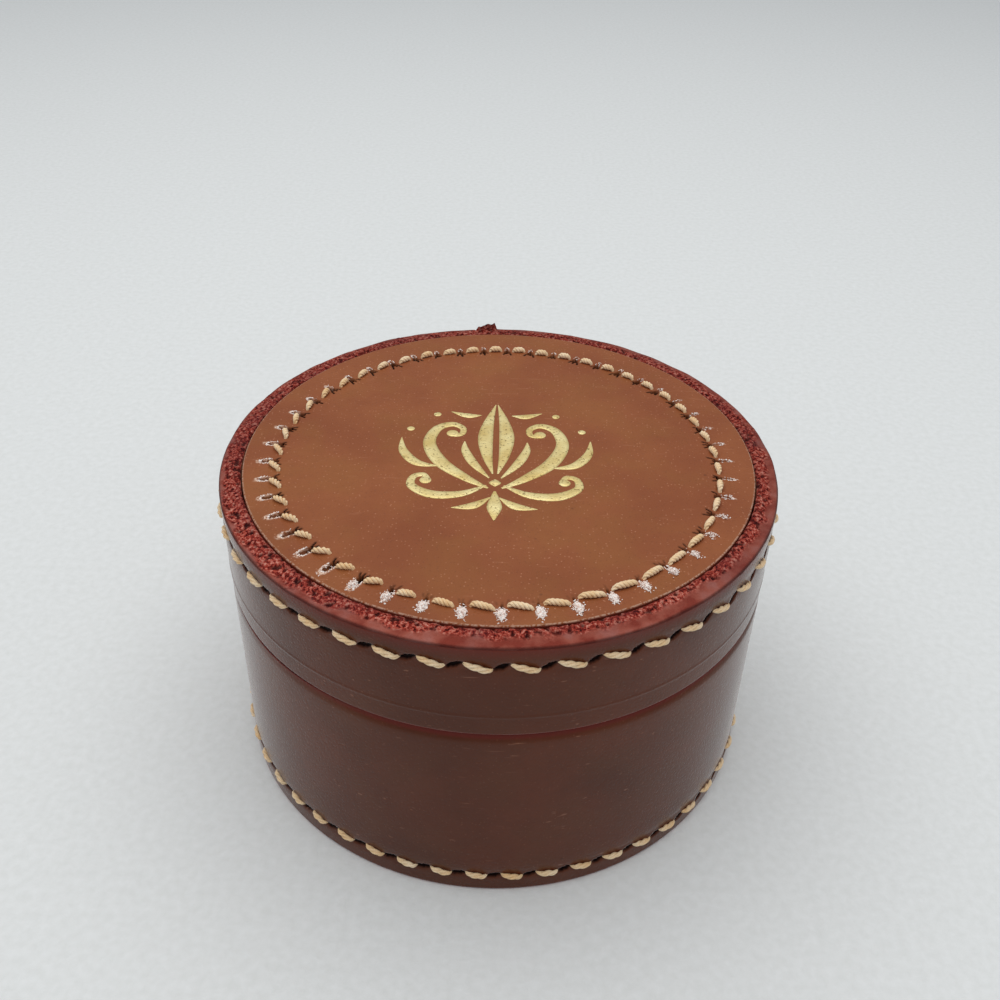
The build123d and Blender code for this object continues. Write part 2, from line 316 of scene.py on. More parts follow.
# Beeswax finish on the walls, and the duller satin of the discs
waxed = {"Roughness": 0.22, "Specular IOR Level": 0.26, "Sheen Weight": 0.5, "Sheen Roughness": 0.25}
satin = {"Roughness": 0.5, "Specular IOR Level": 0.22}

tan_name, painted_shade_grain_name = "tan_vegetable_tanned_leather", "vegetable_tanned_leather_painted_darker"
tan_grain = grain_leather(tan_name, "#945632", "#86492A", "#8C5A2C", 0.45, 0.5, 0.03, satin)
# The walls and the collar get a darker copy of the discs' leather: most of that darkness is painted shade of
# sides that face away from the light, the rest the leather's own tone.
painted_shade_grain = grain_leather(painted_shade_grain_name, "#5E2C16", "#50240F", "#563018", 0.08, 0.42, 0.02, waxed)
edge = cut_edge("dyed_cut_edge")
thread_wax = linen_thread("waxed_linen_thread")
foil = gold_foil("stamped_gold_foil")
suede = suede_leather("brown_suede")

# The hide's unfinished inner side: matt, fibrous and a little paler
flesh_tones = ((0.3, "#6A4330"), (0.7, "#98694A"))
flesh_finish = {"IOR": 1.45, "Roughness": 0.9}
flesh = plain_fibres("leather_flesh_side", 0.4, 0.15, flesh_tones, flesh_finish, unevenness=0.6)

# Fibre and white wax dragged out of the holes: nearly white, with rosy and brown specks
lint_tones = ((0.32, "#B08272"), (0.42, "#ECD2C6"), (0.54, "#FBF4F0"))
lint = plain_fibres("wax_and_lint", 0.28, 0, lint_tones, {"IOR": 1.45, "Roughness": 0.7}, detail=3)

# Grey pressed paper board, with flecks of pulp
board_tones = ((0.35, "#837C70"), (0.65, "#A39C8F"))
board = plain_fibres("grey_pressed_board", 0.8, 0.05, board_tones, {"Roughness": 0.85})

# White fibre wadding, soft and without any gloss
wadding_tones = ((0.35, "#D8D5CC"), (0.65, "#F0EEE8"))
wadding = plain_fibres("white_wadding", 0.7, 0.3, wadding_tones, {"Roughness": 1.0})

# The pale ground that the box stands on, with a faint nap
ground_tones = ((0.3, "#E0E3E4"), (0.7, "#E7EAEC"))
ground = plain_fibres("pale_ground", 1.3, 0.1, ground_tones, {"Roughness": 0.85})


# ---------------------------------------------------------------- shaping


def smooth(value):
    """0 below 0, 1 above 1 and an even rise between."""
    value = min(max(value, 0.0), 1.0)
    return value * value * (3 - 2 * value)


def round_the_turn(rows, azimuth):
    """A row of values at an azimuth, evenly changed from row to row. Each row starts with its azimuth."""
    azimuth %= 360
    looped = [(rows[-1][0] - 360, *rows[-1][1:]), *rows, (rows[0][0] + 360, *rows[0][1:])]
    after = next(i for i, row in enumerate(looped) if row[0] >= azimuth)
    low, high = looped[after - 1], looped[after]
    share = (azimuth - low[0]) / (high[0] - low[0])
    return [a + (b - a) * share for a, b in zip(low[1:], high[1:])]


def rough_noise(x, y, z, size):
    """Smooth noise between -1 and 1, in waves about that many millimetres long."""
    return noise.noise(Vector((x, y, z)) / size)


def stations(start, end, step):
    """Evenly spaced values from start to end, about that step apart, without the end."""
    count = max(1, round(abs(end - start) / step))
    return [start + (end - start) * i / count for i in range(count)]


def corner(centre, start, end, radius, count=5):
    """Points on a rounded corner, from one angle to another in degrees."""
    angles = [radians(start + (end - start) * i / count) for i in range(count + 1)]
    return [(centre[0] + radius * cos(a), centre[1] + radius * sin(a)) for a in angles]


def spun(outline, sectors, steps, closed=True):
    """A ring: an outline of (radius, height) points turned about the Z axis.

    One sector is spun in steps, and then repeated all round.
    """
    bm = bmesh.new()
    verts = [bm.verts.new((radius, 0, height)) for radius, height in outline]
    pairs = list(zip(verts, verts[1:]))
    if closed:
        pairs.append((verts[-1], verts[0]))
    edges = [bm.edges.new(pair) for pair in pairs]
    about = {"cent": (0, 0, 0), "axis": (0, 0, 1)}
    sector = tau / sectors
    bmesh.ops.spin(bm, geom=verts + edges, angle=sector, steps=steps, **about)
    first = bm.verts[:] + bm.edges[:] + bm.faces[:]
    rest = {"angle": tau - sector, "steps": sectors - 1, "use_duplicate": True}
    bmesh.ops.spin(bm, geom=first, **about, **rest)
    bmesh.ops.remove_doubles(bm, verts=bm.verts, dist=0.001)
    if not closed:
        open_edges = [e for e in bm.edges if e.is_boundary]
        bmesh.ops.holes_fill(bm, edges=open_edges, sides=0)
    bmesh.ops.recalc_face_normals(bm, faces=bm.faces)
    return bm


def to_object(bm, name, materials, zone=None):
    """The mesh as an object in metres. zone gives a face's material from its middle's radius and height."""
    if zone:
        for face in bm.faces:
            middle = face.calc_center_median()
            face.material_index = zone(hypot(middle.x, middle.y), middle.z)
    for face in bm.faces:
        face.smooth = True
    bmesh.ops.scale(bm, vec=(MM, MM, MM), verts=bm.verts)
    mesh = bpy.data.meshes.new(name)
    bm.to_mesh(mesh)
    bm.free()
    return from_mesh(mesh, name, materials)


def from_mesh(mesh, name, materials):
    """An object of the mesh, which keeps the material of each face."""
    obj = bpy.data.objects.new(name, mesh)
    bpy.context.scene.collection.objects.link(obj)
    for material in materials:
        mesh.materials.append(material)
    return obj


def place(obj, body, slot, *nodes):
    """Says which body a piece rides on, and the CAD nodes that it stands for. slot is not used."""
    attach(obj, body)
    if nodes:
        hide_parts(*nodes)
    return obj


# ---------------------------------------------------------------- the seams


# How a stitch on a disc and the hole that it starts from look, round the box from an azimuth at the start
# of each row. share is how much of the way to the next hole the thread covers, and lead how much of the rest
# comes before it. start and end are how far outside the ring of holes the thread lies there. slot and gape
# are the length and half width of the slot torn outwards from the hole. lips, wax and flecks are the amounts
# of torn fibre round the slot, of wax heaped on it and of small cuts on its inner side.
FaceLook = namedtuple("FaceLook", "share lead start end slot gape lips wax flecks")
LID_FACE_LOOKS = [
    (8, 0.55, 0.5, -0.1, -0.4, 1.5, 0.13, 0.45, 0.0, 0.9),
    (30, 0.56, 0.5, 0.1, -0.2, 1.1, 0.14, 0.25, 0.0, 1.0),
    (85, 0.57, 0.5, 0.2, 0.1, 0.7, 0.16, 0.15, 0.0, 1.0),
    (130, 0.57, 0.4, 0.1, -0.3, 0.9, 0.18, 0.4, 0.0, 1.0),
    (160, 0.57, 0.25, 0.1, -0.5, 1.2, 0.3, 0.8, 0.0, 1.0),
    (190, 0.56, 0.2, 0.32, -0.9, 1.75, 0.36, 1.1, 0.0, 1.0),
    (227, 0.52, 0.2, 0.1, -1.0, 1.8, 0.44, 1.3, 0.0, 0.8),
    (243, 0.54, 0.3, 0.2, -0.5, 1.7, 0.42, 1.4, 0.4, 0.6),
    (251, 0.6, 0.4, 0.1, 0.3, 1.5, 0.3, 0.9, 0.8, 0.3),
    (262, 0.72, 0.5, 0.0, 0.6, 1.0, 0.16, 0.4, 1.0, 0.2),
    (275, 0.78, 0.5, -0.2, 0.7, 0.8, 0.12, 0.3, 1.0, 0.15),
    (291, 0.85, 0.5, -0.1, 0.5, 0.8, 0.12, 0.3, 0.9, 0.15),
    (303, 0.86, 0.5, 0.15, 0.15, 0.8, 0.12, 0.3, 0.7, 0.25),
    (315, 0.74, 0.5, 0.0, 0.4, 1.0, 0.12, 0.5, 0.3, 0.5),
    (350, 0.57, 0.5, -0.1, -0.4, 1.8, 0.13, 0.6, 0.0, 0.8),
]
BASE_FACE_LOOKS = [(0, 0.68, 0.5, 0.15, -0.2, 0.7, 0.2, 0.2, 0.0, 0.6)]

# How far a disc's holes lie past an even spacing, in degrees, where they were marked by eye.
LID_HOLE_SHIFTS = [
    (10, -0.5), (50, 0.2), (90, 0.8), (130, 1.6), (165, 2.7), (185, 2.8), (200, 2.3), (215, 1.7),
    (228, 1.0), (243, 0.7), (255, 0.2), (270, 0.0), (290, -0.9), (315, -1.3), (345, -0.8),
]
BASE_HOLE_SHIFTS = [(0, 0.0)]

# The same for a stitch on a wall: its share, and how far above the line of holes it starts and ends.
SideLook = namedtuple("SideLook", "share start end")
LID_SIDE_LOOKS = [
    (90, 0.66, 0.3, -0.3),
    (200, 0.65, 0.0, -0.05),
    (226, 0.65, 0.05, -0.1),
    (242, 0.68, 0.5, -0.1),
    (267, 0.7, 0.65, -0.25),
    (291, 0.74, 0.4, -0.4),
    (308, 0.72, 0.0, -0.95),
    (340, 0.66, 0.0, -0.8),
]
BASE_SIDE_LOOKS = [
    (90, 0.66, 0.2, -0.2),
    (225, 0.58, 0.45, -0.1),
    (250, 0.66, 0.05, -0.35),
    (270, 0.67, -0.2, -0.6),
    (290, 0.7, -0.3, -0.7),
    (310, 0.74, -0.75, -1.15),
    (335, 0.72, -0.7, -1.1),
]


class Seam:
    """One ring of saddle stitching: where its holes are, and how its stitches look round the box.

    drift is how much wider the holes lie apart on one side, in radians. face and side are the heights of the
    stitches on the disc and of those on the wall, and outward is 1 for a disc that faces up.
    """

    def __init__(self, count, first_hole, drift, shifts, face, outward, side, shift, face_looks, side_looks):
        even = [first_hole + 360 * i / count for i in range(count)]
        self.side_holes = [a + degrees(drift) * cos(radians(a)) for a in even]
        self.holes = [a + round_the_turn(shifts, a)[0] for a in self.side_holes]
        self.count, self.face, self.outward, self.side, self.shift = count, face, outward, side, shift
        self.face_looks = [FaceLook(*round_the_turn(face_looks, a)) for a in self.holes]
        self.side_looks = [SideLook(*round_the_turn(side_looks, a)) for a in self.side_holes]

    def ring(self, azimuth):
        """Radius of the ring of holes on the disc."""
        turn = radians(azimuth)
        return STITCH_RING + self.shift.x * cos(turn) + self.shift.y * sin(turn)

    def nearest(self, holes, azimuth):
        """The nearest hole's place in the list, and the signed angle in degrees from it."""
        turned = holes[0] + (azimuth - holes[0]) % 360
        after = bisect(holes, turned)
        past = turned - holes[after - 1]
        ahead = (holes[after] if after < self.count else holes[0] + 360) - turned
        return (after - 1, past) if past < ahead else (after % self.count, -ahead)


lid_seam = Seam(
    count=47,
    first_hole=-88.8,
    drift=0.07,
    shifts=LID_HOLE_SHIFTS,
    face=LID_FACE,
    outward=1,
    side=LID_STITCH_HEIGHT,
    shift=LID_RING_SHIFT,
    face_looks=LID_FACE_LOOKS,
    side_looks=LID_SIDE_LOOKS,
)
base_seam = Seam(
    count=50,
    first_hole=-89.1,
    drift=0.0,
    shifts=BASE_HOLE_SHIFTS,
    face=BASE_FACE,
    outward=-1,
    side=BASE_STITCH_HEIGHT,
    shift=Vector((0, 0)),
    face_looks=BASE_FACE_LOOKS,
    side_looks=BASE_SIDE_LOOKS,
)


def slot_distance(look, out, along):
    """1 on the outline of the torn slot, less inside it and more outside. Its ends are blunt."""
    middle = 0.5 * look.slot - 0.15
    lengthwise = abs(out - middle) / (0.5 * look.slot + 0.25)
    return (lengthwise ** 3 + (abs(along) / look.gape) ** 3) ** (1 / 3)


def inner_cuts(hole, out, along):
    """1 in the small cuts that fan out on the inner side of a hole."""
    deepest = 0.0
    for side in (-1, 0, 1):
        place_along = side * (0.5 - 0.3 * (out + 0.4)) + 0.35 * rough_noise(hole, 5 * side, 3, 1.3)
        reach = 0.8 + 0.7 * rough_noise(hole, 3 * side, 7, 1.1)
        beside = smooth((0.21 - abs(along - place_along)) / 0.14)
        deepest = max(deepest, beside * smooth((-0.2 - out) / 0.15) * smooth((out + 0.3 + reach) / 0.3))
    return deepest


def disc_marks(seam, azimuth, radius):
    """Depth, painted shade and tearing at a point on a disc's face, from the nearest hole and its slot. The
    shade also covers the small cuts beside the hole.
    """
    index, turn = seam.nearest(seam.holes, azimuth)
    look = seam.face_looks[index]
    out = radius - seam.ring(azimuth)
    along = radians(turn) * radius
    wobble = 0.2 * rough_noise(out, along, seam.holes[index], 0.4)
    slot = slot_distance(look, out, along) + wobble
    pit = hypot(out + 0.2, along) / (0.08 + 0.42 * look.flecks) + wobble
    slotted = smooth((1.15 - slot) / 0.45)
    opened = max(slotted, smooth((1.15 - pit) / 0.45))
    dark = max(smooth((1.15 - pit) / 0.45), slotted * (1 - 0.5 * smooth((out - 0.2) / 0.7)))
    lip = smooth(1 - abs(slot - 1.3) / 0.4) * smooth((out - 0.1) / 0.3) * min(1, look.lips)
    cuts = min(1.0, 1.4 * look.flecks * inner_cuts(seam.holes[index], out, along))
    bed = smooth((0.7 - abs(out)) / 0.45) * smooth((abs(along) - 0.3) / 0.5)
    depth = (0.75 - 0.4 * smooth(out)) * opened + 0.15 * cuts + 0.08 * bed - 0.08 * lip
    return depth, max(dark, cuts), lip


def wall_marks(seam, azimuth, height):
    """Depth and painted shade at a point on a wall's grain side: a slit from stitch to stitch at each hole.
    """
    index, turn = seam.nearest(seam.side_holes, azimuth)
    before, after = seam.side_looks[index - 1], seam.side_looks[index]
    along = radians(turn) * OUTER
    gap = (1 - after.share) * tau / seam.count * OUTER
    up = height - seam.side - (before.end + after.start) / 2
    tilt = atan2(after.start - before.end, gap)
    main = along * cos(tilt) + up * sin(tilt)
    cross = up * cos(tilt) - along * sin(tilt) + 0.12 * rough_noise(along, up, seam.side_holes[index], 0.5)
    slit = smooth((1.3 - hypot(main / (0.55 * gap / cos(tilt)), cross / 0.34)) / 0.45)
    valley = smooth((1.3 - abs(height - seam.side)) / 1.3)
    return 0.3 * slit + 0.1 * valley, smooth(1.6 * slit)


# ---------------------------------------------------------------- discs


# How far from the ring of holes the leather has marks, inside it and outside, and where it is one flat face
MARKS_INSIDE = 1.5
MARKS_OUTSIDE = 3.2
PLAIN_MIDDLE = 4.5


def make_disc(name, seam, under, grid, body, node):
    """A disc with its torn slots and its stitch bed pressed in, built face up and then turned."""
    steps, fine = grid
    thick = abs(under - seam.face)
    reach = seam.shift.length
    flat_to = DISC_RADIUS - DISC_ARRIS
    inner = STITCH_RING - reach - PLAIN_MIDDLE
    fine_from = STITCH_RING - reach - MARKS_INSIDE
    fine_to = min(STITCH_RING + reach + MARKS_OUTSIDE, flat_to - 0.1)
    outline = [(inner, -thick), (flat_to, -thick), (DISC_RADIUS, -thick + DISC_ARRIS)]
    outline += corner((flat_to, -DISC_ARRIS), 0, 90, DISC_ARRIS, 4)
    outline += [(radius, 0.0) for radius in stations(fine_to, fine_from, fine)]
    outline += [(radius, 0.0) for radius in stations(fine_from, inner, 1.5)]
    outline.append((inner, 0.0))
    bm = spun(outline, seam.count, steps, closed=False)
    hole_shade_and_lap_line = bm.verts.layers.float.new("hole_shade_and_lap_line")
    torn_and_painted_light = bm.verts.layers.float.new("torn_and_painted_light")
    dye_and_shade = bm.verts.layers.float.new("dye_and_shade")
    for vert in bm.verts:
        x, y, z = vert.co
        radius = hypot(x, y)
        on_arris = radius > flat_to + 0.02
        if on_arris:
            # The arris's upper part gets a pale line, a painted highlight, and its lower part the red edge
            # dye
            vert[torn_and_painted_light] = 0.4 * smooth((z + 0.2) / 0.1)
            vert[dye_and_shade] = smooth((-z - 0.08) / 0.1)
        if z < -DISC_ARRIS or radius < inner + 0.01 or on_arris:
            continue
        depth, vert[hole_shade_and_lap_line], vert[torn_and_painted_light] = disc_marks(seam, degrees(atan2(y, x)), radius)
        ripple = 0.06 * rough_noise(x, y, 3, 4.0) * smooth((radius - inner) / 3)
        vert.co.z -= depth - ripple
    if seam.outward < 0:
        bmesh.ops.scale(bm, vec=(1, 1, -1), verts=bm.verts)
        bmesh.ops.reverse_faces(bm, faces=bm.faces)
    bmesh.ops.translate(bm, vec=(0, 0, seam.face), verts=bm.verts)
    place(to_object(bm, name, [tan_grain]), body, "disc_leather", node)


make_disc("lid_top", lid_seam, LID_DISC_UNDER, LID_DISC_GRID, "lid", "lid_disc")
make_disc("base_bottom", base_seam, BASE_FLOOR, BASE_DISC_GRID, "base", "base_disc")


# ---------------------------------------------------------------- walls


# Round the rim: how much of its width is burnished smooth, from its outside, and how much darker it is.
RimLook = namedtuple("RimLook", "smooth_share stain")
RIM_LOOKS = [
    (20, 0.15, 0.3),
    (60, 0.12, 0.35),
    (100, 0.05, 0.35),
    (160, 0.0, 0.3),
    (195, 0.0, 0.12),
    (215, 0.0, 0.0),
    (236, 0.22, 0.0),
    (262, 0.42, 0.0),
    (300, 0.42, 0.05),
    (345, 0.25, 0.2),
]


# Steps where a wall is plain: up its grain side, down its flesh side and across its foot
GRAIN_STEP = 1.1
FLESH_STEP = 3.5
FOOT_STEP = 0.9


def wall_outline(bottom, top, fine_heights, rim_step, fine):
    """A wall's section, from its lower outer corner up the grain side, over the rim and down inside.

    The row just above the lower corner keeps the shading flat up to it.
    """
    inside = OUTER - WALL
    outline = corner((OUTER - ARRIS, bottom + ARRIS), -90, 0, ARRIS)
    start = bottom + ARRIS
    outline.append((OUTER, start + 0.15))
    for low, high in fine_heights:
        outline += [(OUTER, z) for z in stations(start, low, GRAIN_STEP)[1:]]
        outline += [(OUTER, z) for z in stations(low, high, fine)]
        start = high
    outline += [(OUTER, z) for z in stations(start, top - ARRIS, GRAIN_STEP)]
    outline += corner((OUTER - ARRIS, top - ARRIS), 0, 90, ARRIS)
    outline += [(r, top) for r in stations(OUTER - ARRIS, inside, rim_step)[1:]]
    outline += [(inside, z) for z in stations(top, bottom, FLESH_STEP)]
    outline += [(r, bottom) for r in stations(inside, OUTER - ARRIS, FOOT_STEP)]
    return outline


def lap_line(azimuth):
    """1 on the line where the strip's outer end lies, falling to 0 beside it."""
    return smooth(1 - abs(azimuth - LAP_AZIMUTH) * radians(1) * OUTER / 0.3)


def rim_lift(x, y, azimuth, across):
    """Height of the lid's torn rim above its plane, with its roughness, and a darkness that paints shade
    into its clefts and on its inner side and darkens the lap's tip.
    """
    look = RimLook(*round_the_turn(RIM_LOOKS, azimuth))
    raw = smooth((1 - look.smooth_share - across + 0.3 * rough_noise(x, y, 0, 2.0)) / 0.25)
    cleft = raw * smooth((rough_noise(x, y, 8, 0.8) - 0.12) / 0.25) * smooth((1.1 - across) / 0.6)
    lift = 0.1 * rough_noise(x, y, 1, 3.5) * smooth(across * 4)
    lift += raw * (0.12 * rough_noise(x, y, 2, 0.4) + 0.16 * rough_noise(x, y, 4, 1.2)) - 0.25 * cleft
    lift += 0.42 * smooth((0.8 - across) / 0.6) - 0.25 * smooth((0.08 - across) / 0.08)
    from_tip = azimuth - LAP_AZIMUTH + LAP_TIP_SPAN / 2
    on_tip = smooth((LAP_TIP_SPAN / 2 - abs(from_tip) + 0.4 * rough_noise(x, y, 6, 0.7)) / 0.6)
    on_tip *= smooth((across - 0.62) / 0.1) * smooth((1.02 - across) / 0.1)
    lift += on_tip * (LAP_TIP_RISE * (1 - 0.12 * from_tip) + 0.35 * rough_noise(x, y, 9, 0.8))
    shade = 0.45 * raw * smooth((0.4 - across) / 0.5)
    return lift, raw, max(cleft, 0.8 * on_tip, shade, look.stain)


def shape_wall(bm, seam, bottom, top, ragged):
    """Presses the seam's slits, the crease and the lap into a wall, and roughens its cut edge."""
    hole_shade_and_lap_line, rough, dye_and_shade = (bm.verts.layers.float.new(name) for name in ("hole_shade_and_lap_line", "rough", "dye_and_shade"))
    inside = OUTER - WALL
    for vert in bm.verts:
        x, y, z = vert.co
        radius = hypot(x, y)
        azimuth = degrees(atan2(y, x)) % 360
        inward = 0.0
        lift = 0.0
        if radius > OUTER - 0.01:
            inward, vert[hole_shade_and_lap_line] = wall_marks(seam, azimuth, z)
            if ragged:
                inward -= 0.07 * smooth(1 - abs(z - CREASE_HEIGHT) / 0.3)
        if radius > OUTER - ARRIS - 0.01:
            line = lap_line(azimuth)
            inward += 0.3 * line
            vert[hole_shade_and_lap_line] = max(vert[hole_shade_and_lap_line], 0.8 * line)
            if ragged:
                inward += 0.02 * smooth((CREASE_HEIGHT - z) / (CREASE_HEIGHT - bottom))
            else:
                right = smooth(0.5 + 1.6 * cos(radians(azimuth - 325)))
                inward += (0.12 + 0.45 * right) * smooth((z - top + 1.5) / 1.5)
                vert[dye_and_shade] = right * smooth((z - top + 1.0) / 0.5)
        if z > top - ARRIS - 0.01 and radius > inside - 0.01:
            across = (radius - inside) / WALL
            vert[dye_and_shade] = max(vert[dye_and_shade], 0.7 * smooth((across - 0.88) / 0.1))
            vert[rough] = 0.8
            if ragged:
                lift, vert[rough], cleft = rim_lift(x, y, azimuth, across)
                # Painted shade in the rim's clefts and on its inner side, with the darker lap tip and
                # stretches
                vert[dye_and_shade] = max(vert[dye_and_shade], 0.85 * cleft)
                inward += 0.15 * rough_noise(x, y, 5, 6) * smooth((z - top + ARRIS) / ARRIS)
        scale = (radius - inward) / radius
        vert.co = (x * scale, y * scale, z + lift)


def edge_zone(bottom, top):
    """Materials of a wall: 0 the grain side, 1 the cut edges and 2 the flesh side."""
    inside = OUTER - WALL

    def zone(radius, height):
        if height > top - ARRIS * 0.75 or height < bottom + ARRIS * 0.6:
            return 1
        return 2 if radius < inside + 0.5 else 0

    return zone


def make_wall(name, seam, bottom, top, fine_heights, rim_step, grid, ragged, body, node):
    """A wall with its grain, cut edges and flesh side. A ragged one has the lid's torn rim and crease."""
    steps, fine = grid
    bm = spun(wall_outline(bottom, top, fine_heights, rim_step, fine), seam.count, steps)
    shape_wall(bm, seam, bottom, top, ragged)
    obj = to_object(bm, name, [painted_shade_grain, edge, flesh], edge_zone(bottom, top))
    place(obj, body, "wall_leather", node)


lid_fine = [
    (CREASE_HEIGHT - 0.6, CREASE_HEIGHT + 0.6),
    (LID_STITCH_HEIGHT - 1.4, LID_STITCH_HEIGHT + 1.2),
]
base_fine = [
    (BASE_STITCH_HEIGHT - 1.8, BASE_STITCH_HEIGHT + 1.1),
    (SEAM - 1.5, SEAM - ARRIS - 0.1),
]
make_wall("lid_side", lid_seam, SEAM, RIM, lid_fine, 0.17, LID_WALL_GRID, True, "lid", "lid_wall")
make_wall("base_side", base_seam, 0.0, SEAM, base_fine, 0.8, BASE_WALL_GRID, False, "base", "base_wall")


# ---------------------------------------------------------------- thread


STRANDS = 3
STRAND_RADIUS = 0.2
LAY = 1.45  # along the thread for one turn of a strand
DIP = 0.75  # how deep a stitch's ends go into their holes
POINTS_PER_STITCH = 26


def stitch_strands(seam, look, start, end, on_disc, rand):
    """The strands of one stitch as lists of (point, thickness), twisted about its middle line.

    start and end are its holes' azimuths. On a wall the thread lies flatter, and its twist shows less.
    """
    gap = (1 - look.share) * (end - start)
    lead = look.lead if on_disc else 0.5
    begin, finish = start + lead * gap, end - (1 - lead) * gap
    low = look.start + rand.uniform(-0.1, 0.1)
    high = look.end + rand.uniform(-0.1, 0.1)
    crown = rand.uniform(0.3, 0.4) if on_disc else rand.uniform(0.15, 0.21)
    taper = 0.6 if on_disc else 0.75
    spread = STRAND_RADIUS * 1.05
    flat = 1.0 if on_disc else 0.7
    lay = LAY if on_disc else 2.4 * LAY
    phase = rand.uniform(0, tau)
    length = radians(finish - begin) * (STITCH_RING if on_disc else OUTER)
    strands = []
    for strand in range(STRANDS):
        points = []
        for i in range(POINTS_PER_STITCH + 1):
            t = i / POINTS_PER_STITCH
            edge_share = abs(2 * t - 1)
            height = crown - (crown + DIP) * edge_share ** 6
            swell = 1.12 - taper * edge_share ** 2
            angle = phase + tau * (strand / STRANDS + t * length / lay)
            azimuth = begin + (finish - begin) * t
            lean = low + (high - low) * smooth(t) + spread * swell * sin(angle)
            rise = height + spread * swell * flat * cos(angle)
            if on_disc:
                radius, z = seam.ring(azimuth) + lean, seam.face + seam.outward * rise
            else:
                radius, z = OUTER + rise, seam.side + lean
            turn = radians(azimuth)
            points.append((Vector((radius * cos(turn), radius * sin(turn), z)) * MM, swell))
        strands.append(points)
    return strands


def make_thread(name, seam, body, node):
    """All stitches of a seam, those on its disc before those on its wall."""
    rand = random.Random(seam.count)
    curve = bpy.data.curves.new(name, "CURVE")
    curve.dimensions = "3D"
    curve.bevel_depth = STRAND_RADIUS * MM
    curve.bevel_resolution = 1
    curve.use_fill_caps = True
    for looks, holes, on_disc in (
        (seam.face_looks, seam.holes, True),
        (seam.side_looks, seam.side_holes, False),
    ):
        for look, start, end in zip(looks, holes, holes[1:] + [holes[0] + 360]):
            for points in stitch_strands(seam, look, start, end, on_disc, rand):
                spline = curve.splines.new("POLY")
                spline.points.add(len(points) - 1)
                for target, (point, swell) in zip(spline.points, points):
                    target.co = (*point, 1)
                    target.radius = swell
    wound = bpy.data.objects.new(name + "_curve", curve)
    mesh = bpy.data.meshes.new_from_object(wound)
    bpy.data.objects.remove(wound)
    for polygon in mesh.polygons:
        polygon.use_smooth = True
    place(from_mesh(mesh, name, [thread_wax]), body, "waxed_thread", node)


make_thread("lid_stitching", lid_seam, "lid", "lid_thread")
make_thread("base_stitching", base_seam, "base", "base_thread")


# ---------------------------------------------------------------- wax and lint at the lid's holes


def crumb(bm, centre, size, rand):
    """One sliver of fibre or wax: a small ball drawn out and turned any way."""
    ball = bmesh.ops.create_icosphere(bm, subdivisions=1, radius=size)
    stretch = Matrix.Diagonal((rand.uniform(1.2, 2.4), 1.0, rand.uniform(0.5, 0.9), 1.0))
    tip = Matrix.Rotation(rand.uniform(-0.7, 0.7), 4, "Y")
    turn = Matrix.Rotation(rand.uniform(0, tau), 4, "Z")
    placed = Matrix.Translation(centre) @ turn @ tip @ stretch
    bmesh.ops.transform(bm, matrix=placed, verts=ball["verts"])


WAX_OUT = 1.4  # from the ring of holes to the middle of a heap of wax
WAX_SIZE = 0.82


def fluff(bm, radius, azimuth, size, rand):
    """The body of a heap of wax: a low mound with a cauliflower surface."""
    mound = bmesh.ops.create_icosphere(bm, subdivisions=3, radius=1.0)
    turn = Matrix.Rotation(radians(azimuth), 4, "Z")
    offset = Vector((rand.uniform(0, 50), 0, 0))
    for vert in mound["verts"]:
        lumps = 1 + 0.3 * noise.noise(vert.co * 2.0 + offset) + 0.28 * noise.noise(vert.co * 5.5 + offset)
        x, y, z = vert.co * lumps * size
        vert.co = turn @ Vector((radius + 1.1 * x, 0.68 * y, LID_FACE + 0.4 * z))


def make_crumbs():
    """Slivers round the slots' outer lips, and heaped into a fluff where wax fills a slot."""
    rand = random.Random(8)
    bm = bmesh.new()
    for look, hole in zip(lid_seam.face_looks, lid_seam.holes):
        spots = []
        for _ in range(round(60 * look.lips)):
            angle = rand.uniform(-2.2, 2.2) * rand.random() ** 0.3
            blunt = max(-1.0, min(1.0, 1.25 * sin(angle)))
            out = 0.5 * look.slot - 0.15 + (0.5 * look.slot + 0.35) * cos(angle) + rand.gauss(0, 0.12)
            along = (look.gape + 0.13) * blunt + rand.gauss(0, 0.06)
            if out > 0.12:
                spots.append((out, along, 0.02, rand.uniform(0.04, 0.085)))
        if look.wax > 0.2:
            fluff(bm, lid_seam.ring(hole) + WAX_OUT, hole, WAX_SIZE * look.wax ** 0.3, rand)
        for _ in range(round(150 * look.wax)):
            out_share, along_share = rand.gauss(0, 0.5), rand.gauss(0, 0.5)
            height = 0.34 * max(0.0, 1 - out_share ** 2 - along_share ** 2) + 0.03
            out = WAX_OUT + 1.15 * WAX_SIZE * out_share
            spots.append((out, 0.75 * WAX_SIZE * along_share, height, rand.uniform(0.04, 0.1)))
        for out, along, height, size in spots:
            radius = lid_seam.ring(hole) + out
            turn = radians(hole) + along / radius
            crumb(bm, (radius * cos(turn), radius * sin(turn), LID_FACE + height), size, rand)
    place(to_object(bm, "torn_fibre", [lint]), "lid", "waxed_thread")


make_crumbs()


# ---------------------------------------------------------------- gold ornament


ORNAMENT_MIDDLE = Vector((-0.5, -0.8))

